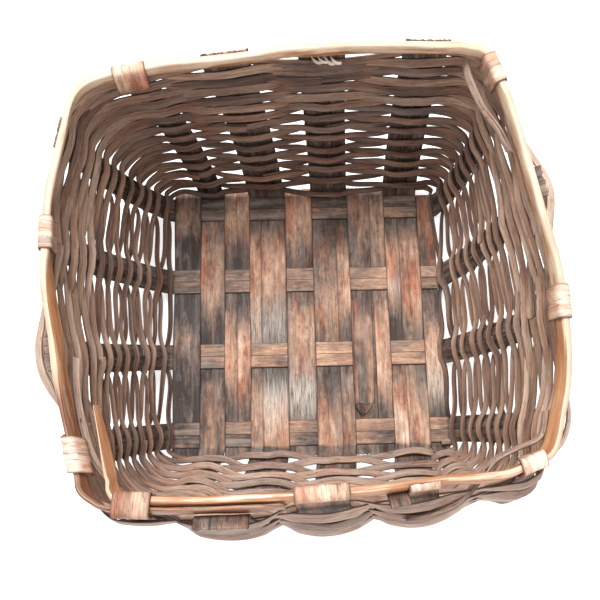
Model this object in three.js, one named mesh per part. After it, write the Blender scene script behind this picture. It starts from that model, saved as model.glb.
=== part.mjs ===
// An open, square, hand-woven splint basket: a plaited floor whose wide splints turn up as seventeen wall
// stakes, one long flat weaver spiralling up the wall, and a bent wooden hoop that every second stake is
// folded over. Millimetres, +Z up. The origin is the middle of the basket's box, on the surface that it
// stands on.
import * as THREE from "three";

// Clearance between splints that touch on the real basket, and round the weaver, which bears on bent
// stakes.
const clearance = 0.3;
const weaveClearance = 0.6;
const sideGap = 0.6;

// Floor columns, left to right. Each is one splint, or two laid side by side, and these are the splints'
// widths. A turned-up column becomes a wall stake at that end; the others only fill the floor.
const columns = [
  { name: "floor_filler_1", widths: [21], turnsUp: [] },
  { name: "long_stake_1", widths: [20], turnsUp: ["near", "far"] },
  { name: "floor_filler_2", widths: [10, 10.5], turnsUp: [] },
  { name: "long_stake_2", widths: [9, 21], turnsUp: ["near", "far"] },
  { name: "floor_filler_3", widths: [23], turnsUp: [] },
  { name: "long_stake_3", widths: [20, 10], turnsUp: ["near", "far"] },
  { name: "floor_filler_4", widths: [19, 12], turnsUp: [] },
  { name: "long_stake_4", widths: [11, 17], turnsUp: ["near", "far"] },
  { name: "corner_stake", widths: [13], turnsUp: ["near"] },
];
const columnThickness = 1.6;

// Cross stakes, near to far: pairs of narrow splints plaited through the columns, turned up at both ends.
const rowNames = ["cross_stake_1", "cross_stake_2", "cross_stake_3", "cross_stake_4"];
const rowSplintWidth = 9.6;
const rowThickness = 1.3;
const rowPitch = 65;

// Wall: from the floor's edge it leans out in a belly to just under the hoop.
const wallTop = 174.5;
const wallBelly = 12;
const bendTop = 9;
const bendReach = 2.5;

// The weaver: flat splints joined end to end, outside one stake and inside the next.
const weaverWidth = 5.5;
const weaverThickness = 1.1;
const weaverStandOff = 4.5;
const weaverBow = 9;
const weaverPastEdge = 1;
const weaverEase = 0.15;
const weaverStakeEase = 0.2;
const weaveStart = 10.2;
const weaveStartsAt = "corner_stake";
const weaverTurns = 27;
const weaverCount = 24;
const weaverJoint = 0.6;

// The hoop: one bent strip on edge, on top of the weave. Its tail laps outside its head at the near left
// corner.
const hoopThickness = 5;
const hoopHeight = 11;
const hoopBottom = wallTop + weaveClearance;
const hoopWorn = 1.3;
const hoopPastStake = 1;
const hoopBendStep = 0.2;
const lapGap = 0.4;

// Stake ends at the rim: folded over the hoop, or cut off just below its top.
const cutBelowHoopTop = 2;
const foldDrop = 18;
const foldCorner = 1.4;

// The rim, seen from above and anticlockwise: the hoop's middle line at each wall stake, as shares of half
// its width and half its depth. A free-hand outline: the rim of this basket is skewed, no two sides are
// alike, and the near wall bulges most. A stake's belly is a multiple of the wall's.
const rimHalfWidth = 150;
const rimHalfDepth = 138;
const rimPoints = [
  { stake: "long_stake_1", side: "near", x: -0.707, y: -1, end: "folded", lapped: true, belly: 1.41 },
  { stake: "long_stake_2", side: "near", x: -0.38, y: -1.007, end: "cut", lapped: true, belly: 1.91 },
  { stake: "long_stake_3", side: "near", x: 0, y: -0.993, end: "folded", belly: 2.41 },
  { stake: "long_stake_4", side: "near", x: 0.347, y: -0.964, end: "cut", belly: 2.33 },
  { stake: "corner_stake", side: "near", x: 0.787, y: -0.899, end: "folded", belly: 1.83 },
  { stake: "cross_stake_1", side: "right", x: 0.92, y: -0.71, end: "cut" },
  { stake: "cross_stake_2", side: "right", x: 0.98, y: -0.21, end: "folded" },
  { stake: "cross_stake_3", side: "right", x: 0.913, y: 0.348, end: "cut" },
  { stake: "cross_stake_4", side: "right", x: 0.8, y: 0.906, end: "folded" },
  { corner: true, x: 0.713, y: 1.007 },
  { stake: "long_stake_4", side: "far", x: 0.52, y: 1.022, end: "cut" },
  { stake: "long_stake_3", side: "far", x: 0.06, y: 1.022, end: "cut" },
  { stake: "long_stake_2", side: "far", x: -0.36, y: 0.971, end: "cut" },
  { stake: "long_stake_1", side: "far", x: -0.767, y: 0.913, end: "folded" },
  { corner: true, x: -0.98, y: 0.833 },
  { stake: "cross_stake_4", side: "left", x: -1.04, y: 0.63, end: "cut" },
  { stake: "cross_stake_3", side: "left", x: -1.087, y: 0.145, end: "folded" },
  { stake: "cross_stake_2", side: "left", x: -1.02, y: -0.377, end: "cut" },
  { stake: "cross_stake_1", side: "left", x: -0.933, y: -0.79, end: "folded" },
  { corner: true, x: -0.88, y: -0.978 },
];
const hoopHead = [
  { x: -0.86, y: -0.609 },
  { x: -0.793, y: -0.877 },
];
const lapPastStake = 20;

// Colours of the aged wood.
const stakeBrown = new THREE.MeshStandardMaterial({ color: 0x7a5846, roughness: 0.75, metalness: 0 });
const fillerBrown = new THREE.MeshStandardMaterial({ color: 0x8c6a54, roughness: 0.75, metalness: 0 });
const weaverBrown = new THREE.MeshStandardMaterial({ color: 0x6b4a3a, roughness: 0.7, metalness: 0 });
const hoopTan = new THREE.MeshStandardMaterial({ color: 0xc58a5a, roughness: 0.5, metalness: 0 });

const basket = new THREE.Group();
const up = new THREE.Vector3(0, 0, 1);

// A closed solid through cross-sections of equal corner counts, listed in order along the piece.
function loft(sections) {
  const corners = sections[0].length;
  const index = [];
  for (let s = 0; s + 1 < sections.length; s++) {
    for (let c = 0; c < corners; c++) {
      const a = s * corners + c;
      const b = s * corners + ((c + 1) % corners);
      index.push(a, b, b + corners, a, b + corners, a + corners);
    }
  }
  const last = (sections.length - 1) * corners;
  for (let c = 1; c + 1 < corners; c++) {
    index.push(0, c + 1, c, last, last + c, last + c + 1);
  }
  const points = sections.flat();
  let volume = 0;
  for (let i = 0; i < index.length; i += 3) {
    const [a, b, c] = [points[index[i]], points[index[i + 1]], points[index[i + 2]]];
    volume += a.dot(b.clone().cross(c));
  }
  if (volume < 0) index.reverse();
  const geometry = new THREE.BufferGeometry().setFromPoints(points);
  geometry.setIndex(index);
  geometry.computeVertexNormals();
  return geometry;
}

// A flat strip keeps its thickness round a bend, up to this cosine of half the bend.
const sharpestMiter = 0.6;

// A flat strip along a path. Each step is { at, wide }: the middle of the strip and the direction of its
// width.
function strip(steps, width, thickness) {
  const sections = steps.map((step, i) => {
    const back = steps[Math.max(i - 1, 0)].at;
    const next = steps[Math.min(i + 1, steps.length - 1)].at;
    const arriving = (i > 0 ? step.at.clone().sub(back) : next.clone().sub(step.at)).normalize();
    const leaving = (i + 1 < steps.length ? next.clone().sub(step.at) : arriving.clone()).normalize();
    const along = arriving.clone().add(leaving).normalize();
    const thick = along.clone().cross(step.wide).normalize();
    const miter = 1 / Math.max(sharpestMiter, along.dot(arriving));
    const w = step.wide.clone().multiplyScalar(width / 2);
    const t = thick.multiplyScalar((miter * thickness) / 2);
    return [
      step.at.clone().sub(w).sub(t),
      step.at.clone().add(w).sub(t),
      step.at.clone().add(w).add(t),
      step.at.clone().sub(w).add(t),
    ];
  });
  return loft(sections);
}

function addPiece(name, geometry, material) {
  const mesh = new THREE.Mesh(geometry, material);
  mesh.name = name;
  basket.add(mesh);
}

// The point a share t of the way along a smooth bend that leaves a along leaving and reaches b along
// arriving.
function smoothPoint(a, leaving, b, arriving, t) {
  const reach = a.distanceTo(b);
  const point = a.clone().multiplyScalar((1 + 2 * t) * (1 - t) * (1 - t));
  point.addScaledVector(leaving, reach * t * (1 - t) * (1 - t));
  point.addScaledVector(b, t * t * (3 - 2 * t));
  return point.addScaledVector(arriving, -reach * t * t * (1 - t));
}

// Floor levels. Rows lie straight; columns pass over and under them, and rest on the ground where they
// pass under.
const columnShift = rowThickness / 2 + clearance + columnThickness / 2;
const rowLevel = columnShift + columnThickness / 2;
const rowPairHalf = rowSplintWidth + sideGap / 2;
const rowYs = rowNames.map((name, i) => (i - (rowNames.length - 1) / 2) * rowPitch);
const floorHalfDepth = rowYs[rowYs.length - 1] + rowPairHalf;

// Where each column's splints lie across the floor.
const splintCount = columns.reduce((n, column) => n + column.widths.length, 0);
const splintTotal = columns.reduce((sum, column) => sum + column.widths.reduce((a, b) => a + b), 0);
const floorHalfWidth = (splintTotal + (splintCount - 1) * sideGap) / 2;
let edge = -floorHalfWidth;
for (const column of columns) {
  column.left = edge;
  column.splints = column.widths.map((width) => {
    const x = edge + width / 2;
    edge += width + sideGap;
    return { x, width };
  });
  column.middle = (column.left + edge - sideGap) / 2;
  column.width = edge - sideGap - column.left;
}
const columnNamed = (name) => columns.find((column) => column.name === name);

// Odd columns pass over the farthest row, under the next, and so on; even columns do the opposite.
function columnLevel(columnNumber, rowNumber) {
  const over = (columnNumber + rowNumber) % 2 === 1;
  return rowLevel + (over ? columnShift : -columnShift);
}

// Places and directions in the rim's plane.
const atRim = (point) => new THREE.Vector3(point.x * rimHalfWidth, point.y * rimHalfDepth, 0);
const lapShift = hoopThickness + lapGap;

function outwardOf(along) {
  return along.clone().cross(up).normalize();
}

function stakeWidth(name) {
  return rowNames.includes(name) ? 2 * rowPairHalf : columnNamed(name).width;
}

// The hoop runs straight past each stake, for the stake's width, and bends between them.
const rimRuns = rimPoints.map((rim, i) => {
  const before = rimPoints[(i + rimPoints.length - 1) % rimPoints.length];
  const after = rimPoints[(i + 1) % rimPoints.length];
  const along = atRim(after).sub(atRim(before)).normalize();
  const half = rim.corner ? 0 : stakeWidth(rim.stake) / 2 + hoopPastStake;
  return { at: atRim(rim), along, half };
});
const headRuns = hoopHead.map((point, i) => {
  const after = hoopHead[i + 1] ?? rimPoints[0];
  return { at: atRim(point), along: atRim(after).sub(atRim(point)).normalize(), half: 0 };
});

// The tail lies one hoop thickness outside the head, past the first stakes, and ends between two stakes.
const lappedRuns = rimRuns.filter((run, i) => rimPoints[i].lapped).map((run) => ({
  at: run.at.clone().addScaledVector(outwardOf(run.along), lapShift),
  along: run.along,
  half: run.half,
}));
const hoopLine = [];
const hoopRuns = [...headRuns, ...rimRuns, ...lappedRuns];
hoopRuns.forEach((run, i) => {
  const from = run.at.clone().addScaledVector(run.along, run.half);
  if (run.half > 0) hoopLine.push(run.at.clone().addScaledVector(run.along, -run.half));
  hoopLine.push(from);
  const next = hoopRuns[i + 1];
  if (!next) return;
  const to = next.at.clone().addScaledVector(next.along, -next.half);
  const steps = Math.max(2, Math.ceil(run.along.angleTo(next.along) / hoopBendStep));
  for (let k = 1; k < steps; k++) {
    hoopLine.push(smoothPoint(from, run.along, to, next.along, k / steps));
  }
});
const tail = hoopRuns[hoopRuns.length - 1];
hoopLine.push(tail.at.clone().addScaledVector(tail.along, tail.half + lapPastStake));

const hoopSections = hoopLine.map((point, i) => {
  const before = hoopLine[Math.max(i - 1, 0)];
  const after = hoopLine[Math.min(i + 1, hoopLine.length - 1)];
  const out = outwardOf(after.clone().sub(before));
  const half = hoopThickness / 2;
  const corner = (across, height) =>
    point.clone().addScaledVector(out, across).addScaledVector(up, hoopBottom + height);
  return [
    corner(-half, 0),
    corner(half, 0),
    corner(half, hoopHeight - hoopWorn),
    corner(half - hoopWorn, hoopHeight),
    corner(hoopWorn - half, hoopHeight),
    corner(-half, hoopHeight - hoopWorn),
  ];
});
addPiece("rim_hoop", loft(hoopSections), hoopTan);

// The wall stakes: each has a foot at the floor's edge, a top beside the hoop, and a width at both.
const wallOutward = {
  near: new THREE.Vector3(0, -1, 0),
  far: new THREE.Vector3(0, 1, 0),
  right: new THREE.Vector3(1, 0, 0),
  left: new THREE.Vector3(-1, 0, 0),
};
const stakes = [];
rimPoints.forEach((rim, i) => {
  if (rim.corner) return;
  const row = rowNames.indexOf(rim.stake);
  const isRow = row >= 0;
  const outward = wallOutward[rim.side];
  const footReach = isRow ? floorHalfWidth + bendReach : floorHalfDepth + bendReach;
  const foot = outward.clone().multiplyScalar(footReach);
  if (isRow) foot.y = rowYs[row];
  else foot.x = columnNamed(rim.stake).middle;
  const thickness = isRow ? rowThickness : columnThickness;
  const rimOutward = outwardOf(rimRuns[i].along);
  const layers = rim.lapped ? lapShift : 0;
  const reach = hoopThickness / 2 + layers + clearance + thickness / 2;
  stakes.push({
    ...rim,
    belly: (rim.belly ?? 1) * wallBelly,
    foot,
    thickness,
    reach,
    rimOutward,
    footOutward: outward,
    hoop: atRim(rim),
    top: atRim(rim).addScaledVector(rimOutward, reach),
    width: stakeWidth(rim.stake),
  });
});

// The wall is straight between these heights.
const wallSteps = 6;
const wallKnots = [];
for (let i = 0; i <= wallSteps; i++) wallKnots.push(bendTop + (i / wallSteps) * (wallTop - bendTop));

// The middle of a stake's centre line and its level width, at one of those heights.
function stakeKnot(stake, height) {
  const share = height / wallTop;
  const outward = stake.footOutward.clone().lerp(stake.rimOutward, share).normalize();
  const at = stake.foot.clone().lerp(stake.top, share);
  at.addScaledVector(outward, 4 * stake.belly * share * (1 - share)).setZ(height);
  return { at, wide: up.clone().cross(outward).normalize() };
}

// The same at any height, with the directions in which the stake rises and faces out.
function stakeAt(stake, height) {
  const above = Math.max(1, wallKnots.findIndex((z) => z >= Math.min(height, wallTop)));
  const low = stakeKnot(stake, wallKnots[above - 1]);
  const high = stakeKnot(stake, wallKnots[above]);
  const t = (height - low.at.z) / (high.at.z - low.at.z);
  const at = low.at.clone().lerp(high.at, t);
  const wide = low.wide.clone().lerp(high.wide, t).normalize();
  const rise = high.at.clone().sub(low.at).normalize();
  return { at, wide, rise, thick: wide.clone().cross(rise).normalize() };
}

// The wall and rim part of a stake's path, from the floor up. side is +1 where the strip's width runs as
// the wall's does, and -1 where it runs the other way.
function wallPath(stake, acrossShift, side) {
  const path = wallKnots.map((height) => {
    const place = stakeAt(stake, height);
    return {
      at: place.at.addScaledVector(place.wide, side * acrossShift),
      wide: place.wide.clone().multiplyScalar(side),
    };
  });
  const wide = up.clone().cross(stake.rimOutward).normalize();
  const hoopTop = hoopBottom + hoopHeight;
  const rimStep = (across, height) => ({
    at: stake.hoop
      .clone()
      .addScaledVector(stake.rimOutward, across)
      .addScaledVector(wide, side * acrossShift)
      .setZ(height),
    wide: wide.clone().multiplyScalar(side),
  });
  if (stake.end === "cut") {
    path.push(rimStep(stake.reach, hoopTop - cutBelowHoopTop));
    return path;
  }
  const over = hoopTop + clearance + stake.thickness / 2;
  const inside = -(hoopThickness / 2 + clearance + stake.thickness / 2);
  path.push(rimStep(stake.reach, over - foldCorner));
  path.push(rimStep(stake.reach - foldCorner, over));
  path.push(rimStep(inside + foldCorner, over));
  path.push(rimStep(inside, over - foldCorner));
  path.push(rimStep(inside, over - foldDrop));
  return path;
}

// The bend from the floor's edge to the wall: a quarter turn drawn out to meet the lean.
function bendPath(from, stake, acrossShift, side) {
  const wallFoot = stakeAt(stake, bendTop);
  const end = wallFoot.at.clone().addScaledVector(wallFoot.wide, side * acrossShift);
  const turn = stakeAt(stake, from.at.z);
  const control = turn.at.clone().addScaledVector(turn.wide, side * acrossShift);
  const curve = new THREE.QuadraticBezierCurve3(from.at, control, end);
  return [1 / 3, 2 / 3].map((t) => ({ at: curve.getPoint(t), wide: from.wide }));
}

const stakeFor = (name, side) => stakes.find((stake) => stake.stake === name && stake.side === side);
const acrossX = new THREE.Vector3(1, 0, 0);
const acrossY = new THREE.Vector3(0, 1, 0);
const letters = ["a", "b"];
const pieceName = (name, count, i) => (count > 1 ? name + letters[i] : name);

// Columns: floor fillers, and the long stakes that turn up at the near and far edges.
columns.forEach((column, number) => {
  column.splints.forEach((splint, i) => {
    const floor = [];
    rowYs.forEach((y, row) => {
      const level = columnLevel(number, row);
      for (const side of [-1, 1]) {
        const at = new THREE.Vector3(splint.x, y + side * (rowPairHalf + sideGap), level);
        floor.push({ at, wide: acrossX });
      }
    });
    const path = [...floor];
    for (const side of column.turnsUp) {
      const stake = stakeFor(column.name, side);
      const shift = splint.x - column.middle;
      const turn = side === "near" ? 1 : -1;
      const start = side === "near" ? floor[0] : floor[floor.length - 1];
      const rising = [...bendPath(start, stake, shift, turn), ...wallPath(stake, shift, turn)];
      if (side === "near") path.unshift(...rising.reverse());
      else path.push(...rising);
    }
    const material = column.turnsUp.length ? stakeBrown : fillerBrown;
    const name = pieceName(column.name, column.splints.length, i);
    addPiece(name, strip(path, splint.width, columnThickness), material);
  });
});

// Rows: pairs of cross splints, turned up on the left and the right.
rowNames.forEach((name, row) => {
  for (let i = 0; i < 2; i++) {
    const shift = (i === 0 ? -1 : 1) * (rowPairHalf - rowSplintWidth / 2);
    const ends = [-1, 1].map((side) => ({
      at: new THREE.Vector3(side * (floorHalfWidth + sideGap), rowYs[row] + shift, rowLevel),
      wide: acrossY,
    }));
    const left = stakeFor(name, "left");
    const right = stakeFor(name, "right");
    const leftRising = [...bendPath(ends[0], left, shift, -1), ...wallPath(left, shift, -1)];
    const rightRising = [...bendPath(ends[1], right, shift, 1), ...wallPath(right, shift, 1)];
    const path = [...leftRising.reverse(), ...ends, ...rightRising];
    addPiece(name + letters[i], strip(path, rowSplintWidth, rowThickness), stakeBrown);
  }
});

// The weave. Station k is stake k modulo 17, so with an odd number of stakes each turn changes sides by
// itself.
const around = stakes.length;
const firstStation = stakes.findIndex((stake) => stake.stake === weaveStartsAt);
const lastStation = around * weaverTurns - 1;
const weaveTop = wallTop - clearance - weaverWidth / 2;
const weavePitch = (weaveTop - weaveStart) / (lastStation - firstStation);
const stationHeight = (k) => weaveStart + weavePitch * (k - firstStation);
const stakeNumber = (k) => stakes[((k % around) + around) % around];
const passesOutside = (k) => k % 2 === 1;

// One long edge of stake k at a height: along is -1 on the side the weaver comes from, +1 where it leaves.
function stakeEdge(k, height, along) {
  const place = stakeAt(stakeNumber(k), height);
  place.at.addScaledVector(place.wide, (along * stakeNumber(k).width) / 2);
  return place;
}

// The free wall between stake k and the next one, at the weaver's height there.
function gapAfter(k) {
  return stakeEdge(k, stationHeight(k), 1).at.distanceTo(stakeEdge(k + 1, stationHeight(k + 1), -1).at);
}

function turnsCorner(k) {
  return stakeNumber(k).side !== stakeNumber(k + 1).side;
}

// How far outside stake k's middle the weaver runs: pressed flat inside it, and standing off outside it.
function runOffset(k) {
  const touching = stakeNumber(k).thickness / 2 + weaveClearance + weaverThickness / 2;
  return passesOutside(k) ? weaverStandOff : -touching;
}

// One end of the flat run past stake k. Outside, it starts to curve back before the stake's edge.
function runEnd(k, along) {
  const stake = stakeNumber(k);
  const place = stakeEdge(k, stationHeight(k), along);
  const neighbour = along < 0 ? k - 1 : k;
  const offset = runOffset(k);
  const curvesBack = passesOutside(k) && !turnsCorner(neighbour);
  const ease = weaverEase * gapAfter(neighbour);
  const inset = curvesBack ? Math.min(weaverStakeEase * stake.width, ease) : 0;
  const beyond = Math.min(weaverPastEdge, ease);
  place.at.addScaledVector(place.wide, along * (beyond - inset)).addScaledVector(place.thick, offset);
  return { at: place.at, wide: place.rise };
}

// The middle of a run outside stake k, where the weaver bows out most.
function bowTop(k) {
  const place = stakeAt(stakeNumber(k), stationHeight(k));
  return { at: place.at.addScaledVector(place.thick, weaverBow), wide: place.rise };
}

// A rounded corner of the wall, half way between stake k and the next.
function cornerStep(k) {
  const height = stationHeight(k + 0.5);
  const here = stakeEdge(k, height, 1);
  const next = stakeEdge(k + 1, height, -1);
  const at = smoothPoint(here.at, here.wide, next.at, next.wide, 0.5);
  return { at, wide: here.rise.clone().add(next.rise).normalize() };
}

// A cut end in the middle of a run, where the next splint takes over.
function splintEnd(k, along) {
  const place = stakeAt(stakeNumber(k), stationHeight(k));
  place.at.addScaledVector(place.wide, (along * weaverJoint) / 2).addScaledVector(place.thick, runOffset(k));
  return { at: place.at, wide: place.rise };
}

const stationsEach = Math.ceil((lastStation - firstStation) / weaverCount);
for (let w = 0; w < weaverCount; w++) {
  const first = firstStation + w * stationsEach;
  const last = Math.min(first + stationsEach, lastStation);
  const path = [splintEnd(first, 1), runEnd(first, 1)];
  for (let k = first + 1; k < last; k++) {
    if (turnsCorner(k - 1)) path.push(cornerStep(k - 1));
    path.push(runEnd(k, -1));
    if (passesOutside(k)) path.push(bowTop(k));
    path.push(runEnd(k, 1));
  }
  if (turnsCorner(last - 1)) path.push(cornerStep(last - 1));
  path.push(runEnd(last, -1), splintEnd(last, -1));
  const name = "weaver_" + String(w + 1).padStart(2, "0");
  addPiece(name, strip(path, weaverWidth, weaverThickness), weaverBrown);
}

// The part's frame: the middle of the basket's box, at the level it stands on.
const box = new THREE.Box3().setFromObject(basket);
const middle = box.getCenter(new THREE.Vector3());
basket.position.set(-middle.x, -middle.y, -box.min.z);

export default basket;
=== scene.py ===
import math
from types import SimpleNamespace

import bmesh
import bpy
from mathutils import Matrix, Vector, noise


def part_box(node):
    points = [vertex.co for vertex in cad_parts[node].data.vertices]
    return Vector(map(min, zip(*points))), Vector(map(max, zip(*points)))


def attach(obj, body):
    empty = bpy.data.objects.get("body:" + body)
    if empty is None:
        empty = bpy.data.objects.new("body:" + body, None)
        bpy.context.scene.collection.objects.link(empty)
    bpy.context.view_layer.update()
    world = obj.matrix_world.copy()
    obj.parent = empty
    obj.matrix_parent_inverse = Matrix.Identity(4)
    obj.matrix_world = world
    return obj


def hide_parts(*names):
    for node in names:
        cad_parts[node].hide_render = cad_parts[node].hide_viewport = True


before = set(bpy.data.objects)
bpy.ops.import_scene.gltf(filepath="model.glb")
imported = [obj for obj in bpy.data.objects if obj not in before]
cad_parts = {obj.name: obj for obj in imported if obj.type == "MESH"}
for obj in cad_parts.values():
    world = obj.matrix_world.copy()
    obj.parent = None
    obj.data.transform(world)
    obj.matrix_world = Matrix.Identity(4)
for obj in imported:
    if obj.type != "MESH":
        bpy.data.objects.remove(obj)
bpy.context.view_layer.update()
up = Vector((0, 0, 1))

# The floor's columns, left to right: wide splints of brown ash, split thin along the grain with a knife and
# laid from the near side to the far side. Columns named as fillers end under the first turn of the weave;
# the others turn up and become wall stakes. Some columns are two splints laid side by side.
side_gap = 0.0006
column_thickness = 0.0016
columns = [SimpleNamespace(name=name, widths=widths, turns_up=turns_up) for name, widths, turns_up in [
    ("floor_filler_1", [0.021], []),
    ("long_stake_1", [0.020], ["near", "far"]),
    ("floor_filler_2", [0.010, 0.0105], []),
    ("long_stake_2", [0.009, 0.021], ["near", "far"]),
    ("floor_filler_3", [0.023], []),
    ("long_stake_3", [0.020, 0.010], ["near", "far"]),
    ("floor_filler_4", [0.019, 0.012], []),
    ("long_stake_4", [0.011, 0.017], ["near", "far"]),
    ("corner_stake", [0.013], ["near"]),
]]
floor_low, floor_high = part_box("floor_filler_1")
edge = floor_low.x
for column in columns:
    column.left = edge
    column.splints = []
    for i, width in enumerate(column.widths):
        node = column.name + "ab"[i] if len(column.widths) > 1 else column.name
        column.splints.append((node, edge + width / 2, width))
        edge += width + side_gap
    column.right = edge - side_gap
    column.middle = (column.left + column.right) / 2
floor_middle = Vector(((floor_low.x + columns[-1].right) / 2, (floor_low.y + floor_high.y) / 2, 0))
floor_half_width = columns[-1].right - floor_middle.x

# Where the cross splints lie, and how high a column runs as it passes over one and under the next.
row_names = ["cross_stake_1", "cross_stake_2", "cross_stake_3", "cross_stake_4"]
row_splint_width = 0.0096
row_thickness = 0.0013
row_pitch = 0.065
plait_gap = 0.0003
row_pair_half = row_splint_width + side_gap / 2
column_shift = row_thickness / 2 + plait_gap + column_thickness / 2
ridge_room = 0.0005
row_level = column_shift + column_thickness / 2 + ridge_room
row_ys = [floor_middle.y + (i - (len(row_names) - 1) / 2) * row_pitch for i in range(len(row_names))]
floor_half_depth = row_ys[-1] - floor_middle.y + row_pair_half


def part_way(value, low, high):
    """How far a value has come from low to high, as a share from 0 to 1."""
    return min(1, max(0, (value - low) / (high - low)))


def waver(x, y, z=0):
    """A smooth hand-made unevenness between -1 and 1."""
    return noise.noise(Vector((x, y, z)))


def column_level(number, y):
    """The height of a column's middle at y, with an easy slope between one cross splint and the next."""
    flat = row_pair_half + side_gap
    levels = [row_level + column_shift * (1 if (number + row) % 2 else -1) for row in range(len(row_ys))]
    for row in range(len(row_ys) - 1):
        if y < row_ys[row + 1] - flat:
            share = part_way(y, row_ys[row] + flat, row_ys[row + 1] - flat)
            return levels[row] + (levels[row + 1] - levels[row]) * share * share * (3 - 2 * share)
    return levels[-1]


def bend_point(start, leaving, end, arriving, t):
    """The point a share t of the way along a bend that leaves start along one direction and reaches end
    along another."""
    reach = (end - start).length
    point = start * ((1 + 2 * t) * (1 - t) ** 2) + end * (t * t * (3 - 2 * t))
    return point + leaving * (reach * t * (1 - t) ** 2) - arriving * (reach * t * t * (1 - t))


def step(place, wide, tone, dust=0, joined=0):
    """A step of a splint: a place, the way that the width runs there, the wood's tone from dark 0 to pale 1,
    the dust on it, and 1 where it is pressed to the splints beside it, so that no dirt and no painted shade
    mark the join."""
    return place, wide, Vector((tone, dust, joined))


def smooth_route(steps, spacing):
    """Close steps on a smooth curve through the given ones."""
    places = [place for place, *_ in steps]
    places = [places[0] * 2 - places[1], *places, places[-1] * 2 - places[-2]]
    gaps = [(b - a).length for a, b in zip(places, places[1:])]
    slopes = []
    for i in range(1, len(places) - 1):
        arriving = (places[i] - places[i - 1]) / gaps[i - 1]
        leaving = (places[i + 1] - places[i]) / gaps[i]
        slopes.append((arriving * gaps[i] + leaving * gaps[i - 1]) / (gaps[i - 1] + gaps[i]))
    route = []
    for i, (start, end) in enumerate(zip(steps, steps[1:])):
        count = max(1, math.ceil(gaps[i + 1] / spacing))
        for k in range(count):
            t = k / count
            place = bend_point(start[0], slopes[i], end[0], slopes[i + 1], t)
            wide = start[1].lerp(end[1], t).normalized()
            route.append((place, wide, start[2].lerp(end[2], t)))
    route.append((steps[-1][0], steps[-1][1].normalized(), steps[-1][2]))
    return route


def distances(route):
    """How far along a route each of its steps lies."""
    reached = [0]
    for (a, *_), (b, *_) in zip(route, route[1:]):
        reached.append(reached[-1] + (b - a).length)
    return reached


def add_object(name, data):
    """A new object in the scene."""
    made = bpy.data.objects.new(name, data)
    bpy.context.scene.collection.objects.link(made)
    return made


def smooth_object(name, bm):
    """A new object with the mesh that was built, shaded smooth."""
    for face in bm.faces:
        face.smooth = True
    mesh = bpy.data.meshes.new(name)
    bm.to_mesh(mesh)
    bm.free()
    return add_object(name, mesh)


# What splitting by hand leaves, in metres: frayed ends with teeth, edges that wander, and ridges and broader
# swells along the grain.
frayed_length = 0.012
tooth_width, fine_tooth_width = 0.003, 0.0012
edge_wave = 0.045
ridge_height, ridge_length, ridge_width = 0.00012, 0.035, 0.0013
swell_length, swell_width = 0.05, 0.006
split_open = 0.0004
rubbed_share = 0.3
sharp_edge = math.radians(58)
same_line = 1e-4


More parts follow.
